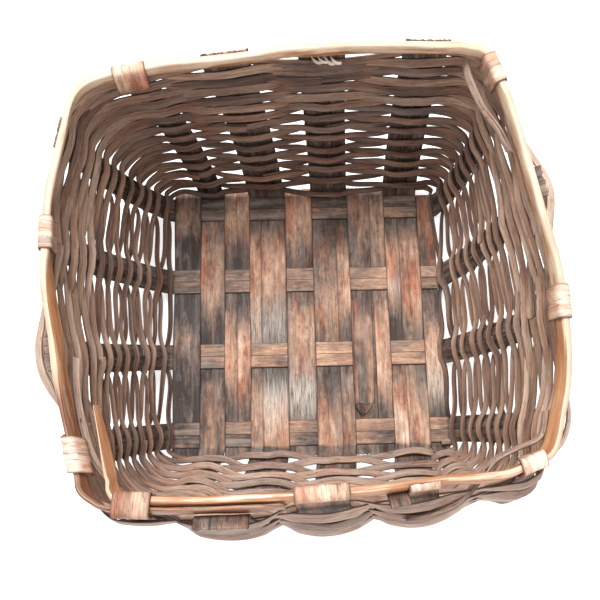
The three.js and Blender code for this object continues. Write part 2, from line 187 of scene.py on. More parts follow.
def splint(name, steps, width, thickness, seed, spacing=0.002, across=0.0012, ragged=0.012,
           torn=(0.003, 0.003), splits=(), cup=0, shares=(0, 1)):
    """A long flat strip split from the log, along the given steps. It has uneven edges, ridges along the
    grain, torn ends up to torn long, and splits, each given as shares across and along. Of splints joined
    side by side it takes up some shares of the width, and only the outermost edges get dirt and painted
    shade."""
    route = smooth_route(steps, spacing)
    distance = distances(route)
    count = len(route) - 1
    rows = max(3, round(width / across))
    bm = bmesh.new()
    bmesh.ops.create_grid(bm, x_segments=count, y_segments=rows, size=1)
    split_lines = [(2 * round(line * rows) / rows - 1, start, end) for line, start, end in splits]
    for line, start, end in split_lines:
        opened = [
            e for e in bm.edges
            if all(abs(v.co.y - line) < same_line and start < (v.co.x + 1) / 2 < end for v in e.verts)
        ]
        bmesh.ops.split_edges(bm, edges=opened)
    grain = bm.loops.layers.uv.new("grain")
    look = bm.loops.layers.uv.new("look")
    settled = bm.loops.layers.uv.new("settled")
    frayed = round(frayed_length / spacing)
    spots = []
    for v in bm.verts:
        faces_y = sum(f.calc_center_median().y for f in v.link_faces) / len(v.link_faces)
        spots.append((v, v.co.x, v.co.y, faces_y - v.co.y))
    for v, x, y, beside in spots:
        share = (x + 1) / 2
        i = share * count
        tear = 0.5 + 0.5 * waver(y * width / tooth_width, seed * 3.7)
        tear += 0.3 * waver(y * width / fine_tooth_width, seed * 3.7, 5)
        from_end = max(0, (i - (count - frayed)) / frayed)
        from_start = max(0, (frayed - i) / frayed)
        i += (torn[0] * from_start - torn[1] * from_end) * tear / spacing
        low = min(count - 1, max(0, int(i)))
        t = i - low
        (place, wide, looks), (next_place, next_wide, next_looks) = route[low], route[low + 1]
        before = route[low - 1][0] if low > 0 and t < 0.5 else place
        after = route[low + 2][0] if low + 2 <= count and t >= 0.5 else next_place
        along = (after - before).normalized()
        place = place.lerp(next_place, t)
        wide = wide.lerp(next_wide, t)
        wide = (wide - along * wide.dot(along)).normalized()
        thick = along.cross(wide)
        s = distance[low] + (distance[low + 1] - distance[low]) * t
        half = width / 2 * (1 - ragged * (0.5 - waver(s / edge_wave, seed, 1 if y > 0 else 2)))
        offset = y * half
        for line, start, end in split_lines:
            if abs(beside) > same_line and abs(line - y) < same_line and start < share < end:
                open_here = math.sin(math.pi * (share - start) / (end - start)) * split_open
                offset += math.copysign(open_here, beside)
        ridge = ridge_height * waver(s / ridge_length, offset / ridge_width, seed * 1.3)
        ridge += 2 * ridge_height * waver(s / swell_length, offset / swell_width, seed * 2.1)
        v.co = place + wide * offset + thick * (ridge + cup * y * y)
        tone, dust, joined = looks.lerp(next_looks, t)
        own_share = (y + 1) / 2
        shared = shares[0] + (shares[1] - shares[0]) * own_share
        for loop in v.link_loops:
            loop[grain].uv = (s + seed * 0.713, offset + seed * 0.291)
            loop[look].uv = (tone, own_share + (shared - own_share) * joined)
            loop[settled].uv = (dust, 0)
    piece = smooth_object(name, bm)
    wall = piece.modifiers.new("thickness", "SOLIDIFY")
    wall.thickness = thickness
    wall.offset = 0
    wall.use_even_offset = True
    rounding = piece.modifiers.new("rubbed edges", "BEVEL")
    rounding.width = thickness * rubbed_share
    rounding.segments = 2
    rounding.limit_method = "ANGLE"
    rounding.angle_limit = sharp_edge
    return piece


def linear(colour):
    """An sRGB hex colour as the linear values that a shader takes."""
    channels = [int(colour[i:i + 2], 16) / 255 for i in (1, 3, 5)]
    return [c / 12.92 if c <= 0.04045 else ((c + 0.055) / 1.055) ** 2.4 for c in channels] + [1]


def add_node(tree, kind, settings=None, links=None, stops=()):
    """The outputs of a new node. A setting or link named by a number or a capital letter is an input socket.
    A node that turns a value into colours takes stops, each a value and its colour."""
    made = tree.nodes.new("ShaderNode" + kind)
    for name, value in (settings or {}).items():
        if isinstance(name, int) or name[0].isupper():
            made.inputs[name].default_value = value
        else:
            setattr(made, name, value)
    for name, output in (links or {}).items():
        tree.links.new(output, made.inputs[name])
    if stops:
        elements = made.color_ramp.elements
        while len(elements) < len(stops):
            elements.new(1)
        for element, (place, colour) in zip(elements, stops):
            element.position = place
            element.color = colour
    return made.outputs


def start_wood(name):
    """A new material with its nodes, the place along and across the grain in metres, and the look that each
    point of the wood carries."""
    material = bpy.data.materials.new(name)
    material.use_nodes = True
    tree = material.node_tree
    grain = add_node(tree, "UVMap", {"uv_map": "grain"})["UV"]
    look = add_node(tree, "UVMap", {"uv_map": "look"})["UV"]
    look = add_node(tree, "SeparateXYZ", {}, {"Vector": look})
    return material, tree, grain, look


def streaks(tree, grain, length, width, detail=3, within=None, gives=(0, 1)):
    """Noise drawn out along the grain: streaks about that long and that wide, in metres. Where limits are
    given, the noise within them is spread over what it gives."""
    stretched = add_node(tree, "Mapping", {"Scale": (1 / length, 1 / width, 1)}, {"Vector": grain})
    drawn = add_node(tree, "TexNoise", {"Scale": 1, "Detail": detail, "Roughness": 0.6},
                     {"Vector": stretched[0]})["Fac"]
    if not within:
        return drawn
    spread = {"From Min": within[0], "From Max": within[1], "To Min": gives[0], "To Max": gives[1]}
    return add_node(tree, "MapRange", spread, {"Value": drawn})[0]


def finish_wood(tree, colour, layers, roughness, height, relief):
    """The wood's surface: its colour under some layers, each given as its way of mixing, its settings and
    its links, then its roughness, and fibres and cracks in relief."""
    for mixing, settings, links in layers:
        colour = add_node(tree, "Mix", {"data_type": "RGBA", "blend_type": mixing, **settings},
                          {**links, 6: colour})[2]
    bump = add_node(tree, "Bump", {"Strength": relief, "Distance": 0.0004}, {"Height": height})
    shader = tree.nodes["Principled BSDF"]
    shader.inputs["Roughness"].default_value = roughness
    tree.links.new(colour, shader.inputs["Base Color"])
    tree.links.new(bump["Normal"], shader.inputs["Normal"])


def split_wood(name, tones, wander, grey, greyed, dust, dusty, patch=(0.05, 0.009), roughness=0.7, grime_and_shade=0.9,
               ruddy=0.7, fibrous=0.55, mottled=0.16):
    """Old wood split by hand. Its tone is the splint's, wandering in patches, mottles and bundles of fibres
    along the grain, russet in places, with grey patches of weathered wood, which on the weavers are also
    painted sheen, fine dark fibres, a few cracks, pale dust caught in the ridges, and edges darkened by dirt
    and painted shade."""
    material, tree, grain, look = start_wood(name)
    tone = look["X"]
    for change in (streaks(tree, grain, *patch, within=(0.25, 0.75), gives=(-wander, wander)),
                   streaks(tree, grain, 0.03, 0.0022, 4, (0.3, 0.7), (-0.15 * fibrous, 0.15 * fibrous)),
                   streaks(tree, grain, 0.008, 0.004, 6, (0.3, 0.7), (-mottled, mottled))):
        tone = add_node(tree, "Math", {"operation": "ADD"}, {0: tone, 1: change})[0]
    colour = add_node(tree, "ValToRGB", {}, {"Fac": tone},
                      [(value, linear(tone_colour)) for value, tone_colour in tones])["Color"]
    russet = streaks(tree, grain, 0.05, 0.016, 4, (0.47, 0.62), (0, ruddy))
    # Grey patches: weathered wood, and on the shaved weavers also painted sheen.
    weathered_and_sheen = streaks(tree, grain, 0.09, 0.007, 2, (0.48, 0.7), (0, greyed))
    fibres = streaks(tree, grain, 0.018, 0.0008, 4)
    fibre_tone = add_node(tree, "ValToRGB", {}, {"Fac": fibres}, [
        (0.3, (0.6, 0.58, 0.57, 1)), (0.5, (1, 1, 1, 1)), (0.72, (1.25, 1.25, 1.22, 1))])["Color"]
    settled = add_node(tree, "UVMap", {"uv_map": "settled"})["UV"]
    settled = add_node(tree, "SeparateXYZ", {}, {"Vector": settled})["X"]
    dust_patch = add_node(tree, "Math", {"operation": "ADD"},
                          {0: streaks(tree, grain, 0.02, 0.009, 6, (0.55, 0.78), (0, dusty)), 1: settled})
    caught = add_node(tree, "MapRange", {"From Min": 0.33, "From Max": 0.6}, {"Value": fibres})
    dust_amount = add_node(tree, "Math", {"operation": "MULTIPLY", "use_clamp": True},
                           {0: dust_patch[0], 1: caught[0]})[0]
    # Cracks, and dark edges that are partly dirt and partly painted shade between a splint and its
    # neighbours.
    cracks_and_edge_shade = []
    for value, spread in [
            (streaks(tree, grain, 0.045, 0.0035, 2), {"From Max": 0.012, "To Min": 0.7, "To Max": 0}),
            (look["Y"], {"From Min": 0.42, "From Max": 0.5, "To Max": grime_and_shade})]:
        from_middle = add_node(tree, "Math", {"operation": "SUBTRACT", 1: 0.5}, {0: value})[0]
        from_middle = add_node(tree, "Math", {"operation": "ABSOLUTE"}, {0: from_middle})[0]
        cracks_and_edge_shade.append(add_node(tree, "MapRange", spread, {"Value": from_middle})[0])
    crack, edge_grime_and_shade = cracks_and_edge_shade
    dark = add_node(tree, "Math", {"operation": "MAXIMUM"}, {0: crack, 1: edge_grime_and_shade})[0]
    layers = [
        ("MULTIPLY", {7: linear("#d8916d")}, {0: russet}),
        ("MIX", {7: linear(grey)}, {0: weathered_and_sheen}),
        ("MULTIPLY", {0: fibrous}, {7: fibre_tone}),
        ("MIX", {7: linear(dust)}, {0: dust_amount}),
        ("MULTIPLY", {7: linear("#6a564b")}, {0: dark}),
    ]
    height = add_node(tree, "Math", {"operation": "SUBTRACT"}, {0: fibres, 1: crack})[0]
    finish_wood(tree, colour, layers, roughness, height, relief=0.5)
    return material


def add_piece(piece, node, material):
    """The piece stands for its CAD node and takes its finish."""
    piece.data.materials.append(material)
    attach(piece, "root")
    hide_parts(node)


# The floor's wood is brown where it lies open, and painted darker and greyer as shade where it dives under a
# cross splint and along its left edge. Dust lies on it in spots, each given by its x and y from the floor's
# middle and its size.
old_ash = [(0, "#3f3531"), (0.25, "#756257"), (0.5, "#b18b72"), (0.75, "#ddb498"), (1, "#f5dfcb")]
floor_wood = split_wood("hand_split_ash_floor", old_ash, wander=0.26, grey="#857870", greyed=0.5,
                        dust="#ddd2c6", dusty=0.45)
floor_step = 0.004
closed_up = 0.0013
outer_reach = 0.0012
diving_shade_tone, lit_lying_over = 0.33, 0.41
patchy, patch_width, patch_length = 0.37, 0.015, 0.045
left_shade, left_shade_width = 0.42, 0.035
dust_places = [(-0.036, -0.007, 0.011), (-0.008, -0.067, 0.011), (-0.028, -0.072, 0.011),
               (0.103, -0.061, 0.009), (0.024, 0.0225, 0.004), (0.027, -0.056, 0.004), (0.072, 0.0235, 0.005)]
dust_stretch = 1.8
dust_covers = 0.92


def floor_look(number, x, y):
    """A column's tone and dust: warm where it lies over a cross splint, grey with painted shade where it
    dives under one, darkest along the left edge in painted shade, and dusty in a few places."""
    over = (column_level(number, y) - row_level) / (2 * column_shift)
    # Painted shade: the tone drops where the column dives under a cross splint, and along the floor's left
    # edge.
    tone = diving_shade_tone + lit_lying_over * over + patchy * waver(x / patch_width, y / patch_length, 4.4)
    tone -= left_shade * (1 - part_way(x, floor_low.x, floor_low.x + left_shade_width))
    dust = 0
    for dust_x, dust_y, size in dust_places:
        away = Vector((x - floor_middle.x - dust_x, (y - floor_middle.y - dust_y) / dust_stretch)) / size
        dust = max(dust, dust_covers * math.exp(-away.length_squared))
    return tone, dust


def across_floor(number, x):
    """The steps of a floor splint from the near edge to the far edge."""
    count = round(2 * floor_half_depth / floor_step)
    steps = []
    for i in range(count + 1):
        y = floor_middle.y + floor_half_depth * (2 * i / count - 1)
        place = Vector((x, y, column_level(number, y)))
        steps.append(step(place, Vector((1, 0, 0)), *floor_look(number, x, y)))
    return steps


def reach_out(number, x, width):
    """The middle and width of a column's splint, closed up to its neighbours. The floor's outermost splints
    are wider towards the wall."""
    side = {0: -1, len(columns) - 1: 1}.get(number, 0)
    return x + side * outer_reach / 2, width + closed_up + abs(side) * outer_reach


def edge_shares(widths, i):
    """Where splint i of some that lie side by side starts and ends across them all."""
    whole = sum(widths)
    return sum(widths[:i]) / whole, sum(widths[:i + 1]) / whole


# Past the floor's edge a filler's ends run on a little way, this far out and this high.
filler_reach = [(0.0028, 0.0021), (0.0055, 0.0012), (0.010, 0.0011)]
for number, column in enumerate(columns):
    if column.turns_up:
        continue
    for i, (node, x, width) in enumerate(column.splints):
        x, width = reach_out(number, x, width)
        steps = across_floor(number, x)
        near_tone, far_tone = steps[0][2].x, steps[-1][2].x
        for out, height in filler_reach:
            near = Vector((x, floor_middle.y - floor_half_depth - out, height))
            far = Vector((x, floor_middle.y + floor_half_depth + out, height))
            steps = [step(near, Vector((1, 0, 0)), near_tone), *steps, step(far, Vector((1, 0, 0)), far_tone)]
        piece = splint(node + "_splint", steps, width, column_thickness, number * 2 + i + 1)
        add_piece(piece, node, floor_wood)

# One column's top layer has come loose between the two rows that it dives under. It is a thin skin of the
# same ash. Before the near row it is torn off in a V, whose dark edge curls up.
loose_layer = 6
layer_thickness = 0.0005
layer_start, layer_length, layer_drift = 0.022, 0.0985, 0.0012
layer_count = 30
node, x, width = columns[loose_layer].splints[0]
steps = []
for i in range(layer_count + 1):
    share = i / layer_count
    y = floor_middle.y + layer_start - layer_length * share
    height = column_level(loose_layer, y) + column_thickness / 2 + layer_thickness
    tone, dust = floor_look(loose_layer, x, y)
    place = Vector((x - layer_drift * share, y, height))
    steps.append(step(place, Vector((1, 0, 0)), tone + 0.06 * share, dust))
flake = splint("loose_floor_layer", steps, width * 0.93, layer_thickness, 71, ragged=0.12, torn=(0, 0.004))
add_piece(flake, node, floor_wood)

# The V's points: how far across, how far back from its tip and how high each lies.
torn_v = [(-0.0085, 0.0105, 0), (-0.0062, 0.005, 0.0006), (-0.0028, 0.0006, 0.0014), (0.0004, 0, 0.002),
          (0.0036, 0.0026, 0.003), (0.0068, 0.0072, 0.0042)]
torn_v_tip = Vector((x - 0.002, floor_middle.y - 0.0838, 0))
steps = []
for across, back, lift in torn_v:
    y = torn_v_tip.y + back
    height = column_level(loose_layer, y) + column_thickness / 2 + 2 * layer_thickness + lift
    steps.append(step(Vector((torn_v_tip.x + across, y, height)), Vector((0.35, 0.5, 0.8)).normalized(), 0))
curl = splint("curled_flake_edge", steps, 0.0026, layer_thickness, 72, spacing=0.001, across=0.0006,
              ragged=0.5, torn=(0.001, 0.001))
add_piece(curl, node, floor_wood)

# The wall stakes: floor splints bent up at the floor's edge while wet. They lean out in a belly to the rim.
# There every second one is folded over the hoop as a clasp and tucked in, and the others are cut off.
wall_top = 0.1745
wall_belly = 0.012
bend_top = 0.009
bend_reach = 0.0025
hoop_thickness = 0.005
hoop_height = 0.011
hoop_bottom = 0.1751
hoop_top = hoop_bottom + hoop_height
hoop_middle = hoop_bottom + hoop_height / 2
lap_shift = 0.0054
fold_corner = 0.0022
rim_half_width = 0.150
rim_half_depth = 0.138
usual_rim = {"belly": 1, "lapped": False, "skew": 0, "flap": 0.018, "worn": 0.85, "bow": 0, "lip": False}


def on_rim(x, y, height=0):
    """A place given by shares of half the rim's width and depth, and its height."""
    return floor_middle + Vector((x * rim_half_width, y * rim_half_depth, height))


def rim_point(x, y, name=None, side=None, end=None, **details):
    """Where the hoop's middle line passes a stake or rounds a corner. A clasp drifts sideways by skew, hangs
    down inside by flap, and is worn pale. Outside a stake the top weavers stand off by bow. A cut end with a
    lip has one splint torn off on top of the hoop."""
    return SimpleNamespace(at=on_rim(x, y), name=name, side=side, end=end, **{**usual_rim, **details})


rim_points = [
    rim_point(-0.707, -1, "long_stake_1", "near", "folded", belly=1.41, lapped=True, worn=0.55, bow=-0.001),
    rim_point(-0.38, -1.007, "long_stake_2", "near", "cut", belly=1.91, lapped=True, bow=0.0035),
    rim_point(0, -0.993, "long_stake_3", "near", "folded", belly=2.41, worn=0.76, bow=0.004),
    rim_point(0.347, -0.964, "long_stake_4", "near", "cut", belly=2.33, bow=0.004, lip=True),
    rim_point(0.787, -0.899, "corner_stake", "near", "folded", belly=1.83, skew=0.009, worn=0.97, bow=0.0025),
    rim_point(0.92, -0.71, "cross_stake_1", "right", "cut", bow=0.004),
    rim_point(0.98, -0.21, "cross_stake_2", "right", "folded"),
    rim_point(0.913, 0.348, "cross_stake_3", "right", "cut", bow=0.009),
    rim_point(0.8, 0.906, "cross_stake_4", "right", "folded"),
    rim_point(0.713, 1.007),
    rim_point(0.52, 1.022, "long_stake_4", "far", "cut"),
    rim_point(0.06, 1.022, "long_stake_3", "far", "broken"),
    rim_point(-0.36, 0.971, "long_stake_2", "far", "cut"),
    rim_point(-0.767, 0.913, "long_stake_1", "far", "folded", flap=0.021),
    rim_point(-0.98, 0.833),
    rim_point(-1.04, 0.63, "cross_stake_4", "left", "cut"),
    rim_point(-1.087, 0.145, "cross_stake_3", "left", "folded"),
    rim_point(-1.02, -0.377, "cross_stake_2", "left", "cut", bow=0.008),
    rim_point(-0.933, -0.79, "cross_stake_1", "left", "folded", skew=0.008, worn=1),
    rim_point(-0.88, -0.978),
]
for i, rim in enumerate(rim_points):
    rim.along = (rim_points[(i + 1) % len(rim_points)].at - rim_points[i - 1].at).normalized()
    rim.outward = rim.along.cross(up).normalized()


def hoop_lean(outward):
    """How far the hoop's section leans out, as an angle: most at the near ends of the left and right sides.
    It leans in along the near side and at the left side's far end."""
    sideways = outward.x ** 2 * (0.2 - 0.8 * outward.y)
    if outward.x < 0:
        sideways = outward.x ** 2 * min(0.4, max(-0.25, -0.25 - 3 * outward.y))
    return sideways - 0.25 * max(0, -outward.y) ** 4 + 0.28 * max(0, outward.y) ** 4


wall_outward = {"near": Vector((0, -1, 0)), "far": Vector((0, 1, 0)), "right": Vector((1, 0, 0)),
                "left": Vector((-1, 0, 0))}
column_named = {column.name: column for column in columns}
stakes = [rim for rim in rim_points if rim.name]
for stake in stakes:
    stake.foot_out = wall_outward[stake.side]
    if stake.name in row_names:
        stake.foot = floor_middle + stake.foot_out * (floor_half_width + bend_reach)
        stake.foot.y = row_ys[row_names.index(stake.name)]
        stake.width, stake.thickness = 2 * row_pair_half, row_thickness
    else:
        column = column_named[stake.name]
        stake.foot = floor_middle + stake.foot_out * (floor_half_depth + bend_reach)
        stake.foot.x = column.middle
        stake.width, stake.thickness = column.right - column.left, column_thickness
    stake.reach = hoop_thickness / 2 + (lap_shift if stake.lapped else 0) + plait_gap + stake.thickness / 2
    stake.lean = hoop_lean(stake.outward)
    stake.top = stake.at + stake.outward * stake.reach


def stake_at(stake, height):
    """A stake's middle at a height, the level way that its width runs, the way it rises and the way out."""
    def middle(height):
        share = height / wall_top
        outward = stake.foot_out.lerp(stake.outward, share).normalized()
        at = stake.foot.lerp(stake.top, share)
        at += outward * (4 * wall_belly * stake.belly * share * (1 - share))
        return Vector((at.x, at.y, height)), up.cross(outward).normalized()
    at, wide = middle(height)
    rise = (middle(height + 0.001)[0] - at).normalized()
    return SimpleNamespace(at=at, wide=wide, rise=rise, thick=wide.cross(rise).normalized())


# A stake rises in steps, painted dark as shade at its bend and behind the weave; the near wall's stakes get
# paler in their top 15 percent.
# Beside the hoop a cut end splays out a little, and stops below the hoop's top or just above it.
bend_shares = (0.2, 0.4, 0.6, 0.8)
wall_count = 24
# Painted shade: a stake's dark tone at its bend and in the wall behind the weave.
bend_shade_tone, stake_shade_tone, paler_top = 0.2, 0.14, 0.3
splay_of_bow = {"near": 2.1, "far": 0, "left": 0.75, "right": 0.75}
far_splay = 0.0008
cut_over_hoop = {"near": -0.004, "far": 0.0006, "left": -0.005, "right": -0.005}


def wall_steps(start, stake, shift, turn):
    """The steps of one splint of a stake, from its bend at the floor's edge up. turn is 1 where the splint's
    width runs the way the wall's does, and -1 where it runs the other way."""
    def beside_middle(height):
        place = stake_at(stake, height)
        return place.at + place.wide * (turn * shift), place.wide * turn

    foot, low = beside_middle(bend_top)[0], beside_middle(start[0].z)[0]
    steps = []
    for t in bend_shares:
        at = start[0] * (1 - t) ** 2 + low * (2 * t * (1 - t)) + foot * t * t
        steps.append(step(at, start[1], bend_shade_tone))
    for i in range(wall_count + 1):
        share = i / wall_count
        tone = stake_shade_tone + (paler_top * part_way(share, 0.85, 1) if stake.side == "near" else 0)
        steps.append(step(*beside_middle(bend_top + (wall_top - bend_top) * share), tone))
    wide = up.cross(stake.outward).normalized()

    def beside_hoop(across, height, tone, drift=0, lean=stake.lean, joined=0):
        over = height - hoop_middle
        height = hoop_middle + over * math.cos(lean) - across * math.sin(lean)
        at = stake.at + stake.outward * (across * math.cos(lean) + over * math.sin(lean))
        at += wide * (turn * shift + drift)
        return step(Vector((at.x, at.y, height)), wide * turn, tone, joined=joined)

    over = hoop_top + plait_gap + stake.thickness / 2
    inside = -(hoop_thickness / 2 + plait_gap + stake.thickness / 2)
    corner = [(1 - math.cos(math.radians(d)), 1 - math.sin(math.radians(d))) for d in (0, 30, 60, 90)]
    if stake.lip and turn * shift > 0:
        steps.append(beside_hoop(stake.reach, hoop_middle, 0.35))
        steps += [beside_hoop(stake.reach - fold_corner * a, over - fold_corner * b, 0.9) for a, b in corner]
        steps.append(beside_hoop(0.0009, over + 0.0011, 1))
        return steps
    if stake.end == "broken":
        return steps
    if stake.end == "cut":
        splay = splay_of_bow[stake.side] * stake.bow + (far_splay if stake.side == "far" else 0)
        steps.append(beside_hoop(stake.reach + splay * 0.35, hoop_bottom + hoop_height * 0.3, 0.16))
        steps.append(beside_hoop(stake.reach + splay, hoop_top + cut_over_hoop[stake.side], 0.3))
        return steps
    fold = [(stake.reach, hoop_middle, 0.5)]
    fold += [(stake.reach - fold_corner * a, over - fold_corner * b, 1) for a, b in corner]
    fold += [(inside + fold_corner * a, over - fold_corner * b, 1) for a, b in corner[::-1]]
    fold += [(inside, over - stake.flap * share, 1 - 0.55 * share) for share in (0.4, 0.7, 1)]
    drift, whole = 0, hoop_height + stake.reach - inside + stake.flap
    for i, (across, height, worn) in enumerate(fold):
        if i:
            drift += stake.skew * math.dist(fold[i][:2], fold[i - 1][:2]) / whole
        lean = stake.lean if i + 1 < len(fold) else 0
        steps.append(beside_hoop(across, height, stake.worn * worn, drift, lean, 1))
    return steps


def stake_beside(name, side):
    """The stake that a splint becomes on one side."""
    return next(stake for stake in stakes if stake.name == name and stake.side == side)


# The same split wood as the floor's, with duller dust. The clasps' folds are rubbed pale.
stake_wood = split_wood("hand_split_ash_stakes", old_ash, wander=0.24, grey="#857870", greyed=0.5,
                        dust="#d6cabe", dusty=0.4)
for number, column in enumerate(columns):
    if not column.turns_up:
        continue
    for i, (node, x, width) in enumerate(column.splints):
        x, width = reach_out(number, x, width)
        steps = across_floor(number, x)
        shift = x - column.middle
        near = stake_beside(column.name, "near")
        steps = wall_steps(steps[0], near, shift, 1)[::-1] + steps
        if "far" in column.turns_up:
            far = stake_beside(column.name, "far")
            steps += wall_steps(steps[-1], far, shift, -1)
        piece = splint(node + "_splint", steps, width, column_thickness, 30 + number * 2 + i,
                       shares=edge_shares(column.widths, i))
        add_piece(piece, node, stake_wood)

# The cross stakes: four pairs of narrow splints of the same wood, plaited through the columns and turned up
# on the left and the right, where each pair works as one stake. They are greyer than the columns, and
# painted darker as shade towards the left and on the outer splints along the floor's near and far edge.
cross_wood = split_wood("hand_split_ash_cross_stakes", old_ash, wander=0.2, grey="#94867d", greyed=0.85,
                        dust="#cfc3b7", dusty=0.3, ruddy=0.2)
row_tones = [0.47, 0.52, 0.45, 0.36]
row_patchy, row_patch_length = 0.25, 0.03
row_shade, row_shade_width = 0.2, 0.1
for row, name in enumerate(row_names):
    left = stake_beside(name, "left")
    right = stake_beside(name, "right")
    for i in range(2):
        shift = (i * 2 - 1) * (row_pair_half - row_splint_width / 2)
        count = round(2 * floor_half_width / floor_step)
        steps = []
        for k in range(count + 1):
            x = floor_middle.x + (floor_half_width + side_gap) * (2 * k / count - 1)
            tone = row_tones[row] + row_patchy * waver(x / row_patch_length, row * 3.1 + i, 8.8)
            # Painted shade: darker towards the left, and on the outermost splint of the near and far rows.
            tone -= row_shade * (1 - part_way(x, floor_low.x, floor_low.x + row_shade_width))
            if row + i in (0, len(row_names)):
                tone -= row_shade
            steps.append(step(Vector((x, row_ys[row] + shift, row_level)), Vector((0, 1, 0)), tone))
        steps = wall_steps(steps[0], left, shift, -1)[::-1] + steps + wall_steps(steps[-1], right, shift, 1)
        node = name + "ab"[i]
        piece = splint(node + "_splint", steps, row_splint_width + closed_up * 0.8, row_thickness,
                       60 + row * 2 + i, shares=(i / 2, (i + 1) / 2))
        add_piece(piece, node, cross_wood)

# The weave: one line of shaved splints about 7 mm wide that climbs in 27 turns, outside one stake and inside
# the next. Each splint serves about a turn and laps past the start of the next one for a stake. Inside the
# wall each turn leans, so that its foot lies over the head of the turn below.
weaver_width = 0.0067
weaver_thickness = 0.0011
weave_start = 0.0066
weave_starts_at = "corner_stake"
weaver_turns = 27
weaver_count = 24
weaver_lap = 0.0013
around = len(stakes)
first_station = [stake.name for stake in stakes].index(weave_starts_at)
last_station = around * weaver_turns - 1
weave_top = wall_top - weaver_width / 2
weave_pitch = (weave_top - weave_start) / (last_station - first_station)
stations_each = math.ceil((last_station - first_station) / weaver_count)

# How a weaver leans on each side, and leans more where the turns are packed, how far the first turns are
# tucked in, how pale it is, which is painted light and shade: darkest on the far wall and paler on the right
# than on the left, and how much that varies, and its room outside a stake.
wall_sides = {
    side: SimpleNamespace(lean=lean, packed_lean=packed_lean, tuck=tuck, tone=tone, varied=varied, room=room)
    for side, lean, packed_lean, tuck, tone, varied, room in [
        ("near", 0.75, 0.12, 0.003, 0.56, 0.15, 0), ("far", 0.2, 0.12, 0.003, 0.34, 0.15, 0.0014),
        ("left", 0.03, 0.25, 0.0042, 0.48, 0.2, 0.0026), ("right", 0.05, 0.25, 0.0042, 0.56, 0.2, 0.0026)]
}
outer_bow, inner_bow = 0.2, 0.003
near_outer_bow, near_inner_bow, near_inner_room = 0.25, 0.0016, 0.0007
tucked_height = 0.012
run_past = 0.001
row_stray, run_stray, outer_stray, inner_stray, lean_stray = 0.0015, 0.0009, 0.0015, 0.0014, 0.08
slack_stake = "long_stake_3"
slack_from, slack_by, slack_sag = 0.14, 0.175, 0.0065
clasp_rise = 0.0045
bowed_from, bowed_by = 0.1, 0.145
gathered_from, gathered_by = 0.15, 0.172


def station_height(k):
    """How high the weave is at stake k, counted on round and round."""
    return weave_start + weave_pitch * (k - first_station)


def strayed(k, which, amount):
    """A hand-made unevenness at station k, up to about that amount either way."""
    return 1.6 * amount * waver(k * 0.731, which * 7.3, 2.9)


def packed(height):
    """How closely the turns are packed: 0 in the open lower wall, 1 in the turns under the hoop."""
    return part_way(height, 0.068, 0.118)


def tightness(height):
    """How far the weave swings in and out: less in the first turns and where it is packed."""
    return (0.45 + 0.55 * part_way(height, 0, 0.035)) * (1 - 0.72 * packed(height))


def tucked(height):
    """How far a turn is tucked in under the wall's foot: 1 in the first turn, and 0 a few turns up."""
    return max(0, 1 - (height - weave_start) / tucked_height)


def weaver_look(k, outside):
    """A weaver's tone at station k, in painted light and shade: each wall's own tone, paler up the side walls
    as painted light, and outside runs darker as painted shade, but on the far, left and right walls paler
    near the rim, partly from wear where hands reach and partly as painted light.
    """
    side = stakes[k % around].side
    tight = packed(station_height(k))
    varied = wall_sides[side].varied + 0.12 * tight
    tone = wall_sides[side].tone + strayed(k, 6, varied) + strayed(k // stations_each * 3.1, 8, varied)
    # Painted light: the side walls get paler towards the top.
    if side in ("left", "right"):
        tone += 0.2 * k / last_station - 0.04
    # Painted shade on the outside runs, which lie deeper; near the rim, wear and painted light make them
    # paler.
    if outside:
        tone += -0.1 if side == "near" else 0.3 * tight - 0.12
    return tone


def weave_run(k, along, lift=0, bulge=0):
    """A step of the run past stake k: along is -1 where it arrives, 0 in its middle and 1 where it leaves."""
    stake = stakes[k % around]
    side = wall_sides[stake.side]
    near = stake.side == "near"
    outside = k % 2 == 1
    height = station_height(k) + strayed(k, 1, row_stray)
    height += strayed(k + around * 0.37 * along, 5, run_stray)
    if stake.name == slack_stake and stake.side == "far":
        height -= slack_sag * part_way(height, slack_from, slack_by)
    if outside and near and stake.end == "folded":
        height += clasp_rise * packed(height - 0.02)
    place = stake_at(stake, min(height + lift, weave_top))
    swing = tightness(height)
    tight = packed(height)
    touching = stake.thickness / 2 + weaver_thickness / 2 + plait_gap
    if outside:
        bow = (near_outer_bow if near else outer_bow) * stake.width + strayed(k, 2, outer_stray)
        stands_off = stake.bow * part_way(height, bowed_from, bowed_by)
        if near:
            stands_off *= 1.35 - 1.05 * part_way(height, gathered_from, gathered_by)
            offset = (0.3 * swing * bow + 0.001 + 0.0012 * tight) * (1 - 0.45 * along * along)
            half = stake.width / 2 - run_past + 0.0035 * tight
            lean = 0.5 - 0.75 * tight - 60 * stands_off
        else:
            offset = swing * (side.room + bow * (1 - along * along))
            half = stake.width / 2 - run_past + 1.1 * stands_off
            lean = -0.1 - 130 * stands_off
        offset += touching + stands_off * (1 - 0.35 * along * along)
    else:
        bow = (near_inner_bow if near else inner_bow) + strayed(k, 3, inner_stray)
        offset = -touching - swing * (plait_gap + bow * (1 - along * along)) - near * near_inner_room
        half = stake.width / 2 + run_past
        lean = side.lean + side.packed_lean * tight
    at = place.at + place.wide * (along * half) + place.thick * (offset + bulge)
    at -= stake.foot_out * side.tuck * tucked(height)
    lean += strayed(k, 4, lean_stray)
    return step(at, (place.rise + place.thick * lean).normalized(), weaver_look(k, outside))


